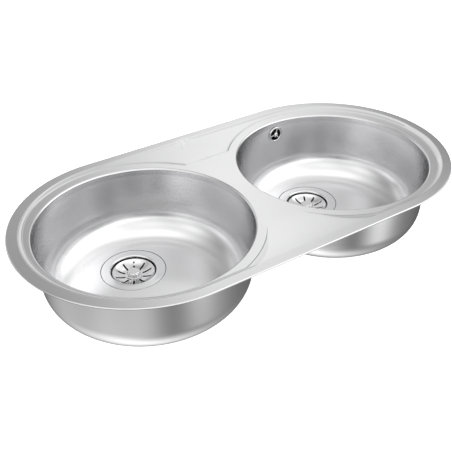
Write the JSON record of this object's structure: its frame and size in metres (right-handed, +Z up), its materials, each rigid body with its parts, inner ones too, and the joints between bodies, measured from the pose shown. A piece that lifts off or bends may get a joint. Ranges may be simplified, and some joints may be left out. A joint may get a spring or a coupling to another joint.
{
  "type": "double bowl kitchen sink",
  "caption": "Inset kitchen sink with round bowls side by side in a stadium-shaped deck, tap ledge, lift-out basket strainers, overflow and fold-down worktop clips.",
  "frame": {"origin": "plan centre of the rim, on the worktop that the rim lies on", "axes": "+X along the sink with the larger bowl at -X, +Y to the back where the tap ledge is, +Z up"},
  "size_m": [0.84, 0.44, 0.2085],
  "materials": {
    "sink_steel": "satin stainless steel",
    "polished_steel": "polished stainless steel",
    "plated_steel": "bright zinc plating",
    "rubber": "matt black rubber",
    "foam": "closed-cell foam",
    "bitumen": "matt sound-deadening sheet",
    "plastic": "white polypropylene"
  },
  "bodies": {
    "sink": {"deck": "sink_steel", "rim_seal": "foam", "overflow_rose": "polished_steel", "overflow_screw": "polished_steel", "overflow_gasket": "rubber", "overflow_elbow": "plastic", "overflow_hose": "plastic", "upper_hose_clamp": "plated_steel", "lower_hose_clamp": "plated_steel", "large_bowl": "sink_steel", "large_sound_pad": "bitumen", "large_waste_flange": "polished_steel", "large_flange_gasket": "rubber", "large_waste_washer": "rubber", "large_waste_body": "plastic", "large_waste_screw": "plated_steel", "small_bowl": "sink_steel", "small_sound_pad": "bitumen", "small_waste_flange": "polished_steel", "small_flange_gasket": "rubber", "small_waste_washer": "rubber", "small_waste_body": "plastic", "small_waste_screw": "plated_steel", "clip_1_bracket": "plated_steel", "clip_1_pin": "plated_steel", "clip_2_bracket": "plated_steel", "clip_2_pin": "plated_steel", "clip_3_bracket": "plated_steel", "clip_3_pin": "plated_steel", "clip_4_bracket": "plated_steel", "clip_4_pin": "plated_steel", "clip_5_bracket": "plated_steel", "clip_5_pin": "plated_steel", "clip_6_bracket": "plated_steel", "clip_6_pin": "plated_steel"},
    "large_strainer": {"large_strainer_basket": "polished_steel", "large_strainer_knob": "polished_steel", "large_strainer_stem": "plated_steel", "large_strainer_stopper": "rubber"},
    "small_strainer": {"small_strainer_basket": "polished_steel", "small_strainer_knob": "polished_steel", "small_strainer_stem": "plated_steel", "small_strainer_stopper": "rubber"},
    "clip_1_leg": {"clip_1_leg": "plated_steel"},
    "clip_2_leg": {"clip_2_leg": "plated_steel"},
    "clip_3_leg": {"clip_3_leg": "plated_steel"},
    "clip_4_leg": {"clip_4_leg": "plated_steel"},
    "clip_5_leg": {"clip_5_leg": "plated_steel"},
    "clip_6_leg": {"clip_6_leg": "plated_steel"}
  },
  "joints": [
    {"name": "large_strainer_lift", "type": "slide", "parent": "sink", "child": "large_strainer", "axis": [0, 0, 1], "range_m": [0, 0.18]},
    {"name": "small_strainer_lift", "type": "slide", "parent": "sink", "child": "small_strainer", "axis": [0, 0, 1], "range_m": [0, 0.18]},
    {"name": "clip_1_fold", "type": "hinge", "parent": "sink", "child": "clip_1_leg", "pos_m": [-0.10412, -0.1988, -0.0045], "axis": [0, 1, 0], "range_deg": [0, 90]},
    {"name": "clip_2_fold", "type": "hinge", "parent": "sink", "child": "clip_2_leg", "pos_m": [0.09362, -0.1988, -0.0045], "axis": [0, 1, 0], "range_deg": [0, 90]},
    {"name": "clip_3_fold", "type": "hinge", "parent": "sink", "child": "clip_3_leg", "pos_m": [0.38017, 0.08402, -0.0045], "axis": [-0.9063, -0.4226, 0], "range_deg": [0, 90]},
    {"name": "clip_4_fold", "type": "hinge", "parent": "sink", "child": "clip_4_leg", "pos_m": [0.1925, 0.1988, -0.0045], "axis": [0, -1, 0], "range_deg": [0, 90]},
    {"name": "clip_5_fold", "type": "hinge", "parent": "sink", "child": "clip_5_leg", "pos_m": [-0.203, 0.1988, -0.0045], "axis": [0, -1, 0], "range_deg": [0, 90]},
    {"name": "clip_6_fold", "type": "hinge", "parent": "sink", "child": "clip_6_leg", "pos_m": [-0.38017, 0.08402, -0.0045], "axis": [0.9063, -0.4226, 0], "range_deg": [0, 90]}
  ]
}
